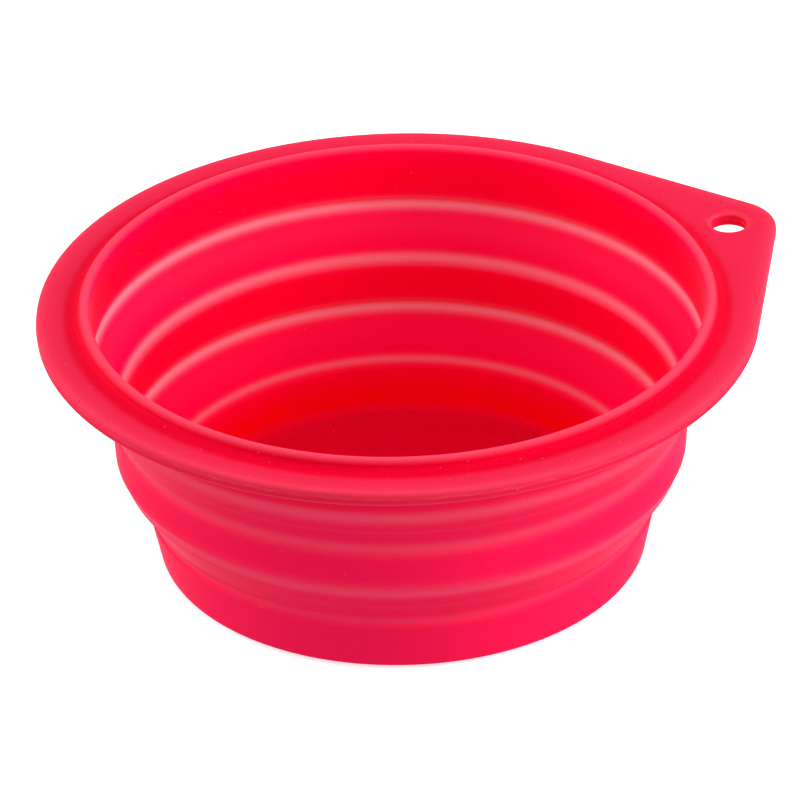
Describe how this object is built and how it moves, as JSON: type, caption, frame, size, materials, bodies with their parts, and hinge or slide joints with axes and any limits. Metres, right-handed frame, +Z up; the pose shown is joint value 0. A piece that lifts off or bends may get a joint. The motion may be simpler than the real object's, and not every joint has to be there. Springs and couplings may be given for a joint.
{
  "type": "folding travel bowl",
  "caption": "Round silicone travel bowl with stepped walls that fold flat on thin webs, a flat rim with a raised mouth lip, and a hanging tab with a hole.",
  "frame": {"origin": "centre of the base's underside, on the table", "axes": "+Z up the bowl's axis towards the mouth, +X from the axis towards the hanging tab"},
  "size_m": [0.139, 0.1288, 0.0503],
  "materials": {
    "silicone": "matte, softly translucent red silicone"
  },
  "bodies": {
    "base": {"base_floor": "silicone", "base_wall": "silicone", "lower_web_inner_hinge": "silicone", "lower_web": "silicone"},
    "middle": {"lower_web_outer_hinge": "silicone", "middle_wall": "silicone", "upper_web_inner_hinge": "silicone", "upper_web": "silicone"},
    "rim": {"upper_web_outer_hinge": "silicone", "upper_wall": "silicone", "mouth_lip": "silicone", "rim_flange": "silicone", "hanging_tab": "silicone"}
  },
  "joints": [
    {"name": "lower_fold", "type": "slide", "parent": "base", "child": "middle", "axis": [0, 0, -1], "range_m": [0, 0.0166], "deforming": ["lower_web"]},
    {"name": "upper_fold", "type": "slide", "parent": "middle", "child": "rim", "axis": [0, 0, -1], "range_m": [0, 0.0176], "deforming": ["upper_web"]}
  ]
}
